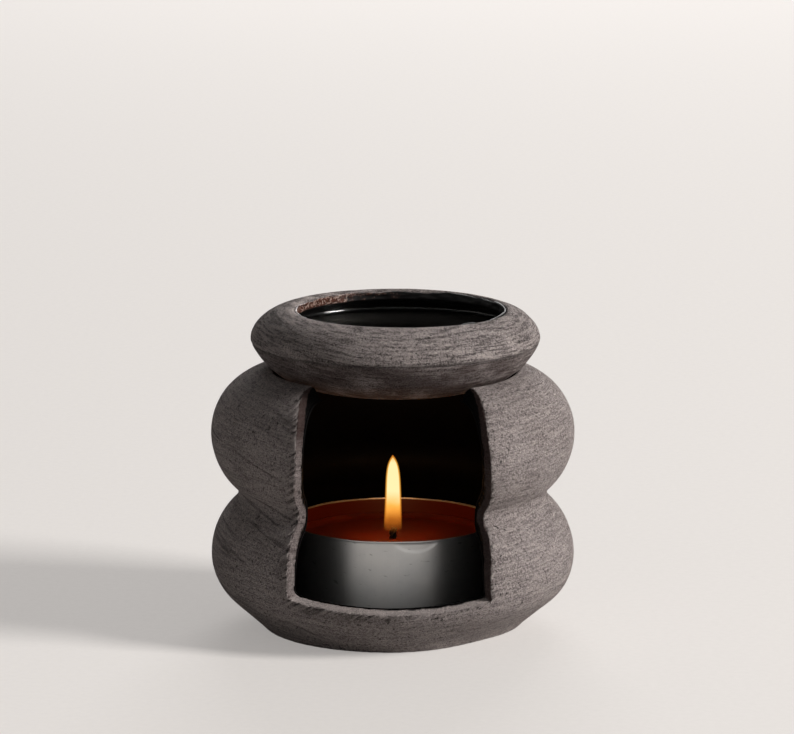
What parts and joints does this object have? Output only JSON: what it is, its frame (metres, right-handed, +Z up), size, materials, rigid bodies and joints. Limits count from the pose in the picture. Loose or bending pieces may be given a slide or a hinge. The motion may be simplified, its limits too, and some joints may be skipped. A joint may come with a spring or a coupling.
{
  "type": "essential oil burner",
  "caption": "Hand-thrown clay burner of two stacked bulges with a tall doorway, a tealight on its floor and a shallow dish in its neck that warms water and scented oil.",
  "frame": {"origin": "middle of the flat foot, on the surface that the burner stands on", "axes": "+Z up along the axis of the body; the doorway faces -Y; +X is to the right, seen from the front"},
  "size_m": [0.0976, 0.0961, 0.0865],
  "materials": {
    "raw_clay": "unglazed grey-brown stoneware with grog, brush marks and fine pits, matt",
    "black_glaze": "black gloss glaze that breaks brown where it is thin",
    "water_and_oil": "clear still liquid",
    "cup_aluminium": "thin drawn sheet, satin, slightly dented",
    "wax": "molten amber wax, smooth and translucent",
    "wick_cotton": "charred braided cotton",
    "sustainer_steel": "thin tinned sheet"
  },
  "bodies": {
    "stove": {"stove_body": "raw_clay", "chamber_glaze": "black_glaze"},
    "dish": {"oil_dish": "raw_clay", "dish_glaze": "black_glaze", "oil_and_water": "water_and_oil"},
    "candle": {"candle_cup": "cup_aluminium", "candle_wax": "wax", "candle_wick": "wick_cotton", "wick_sustainer": "sustainer_steel"}
  },
  "joints": [
    {"name": "dish_lift", "type": "slide", "parent": "stove", "child": "dish", "axis": [0, 0, 1], "range_m": [0, 0.09]},
    {"name": "candle_lift", "type": "slide", "parent": "stove", "child": "candle", "axis": [0, 0, 1], "range_m": [0, 0.072]}
  ],
  "couplings": [
    {"joint": "candle_lift", "follows": "dish_lift", "ratio": 0.8}
  ]
}
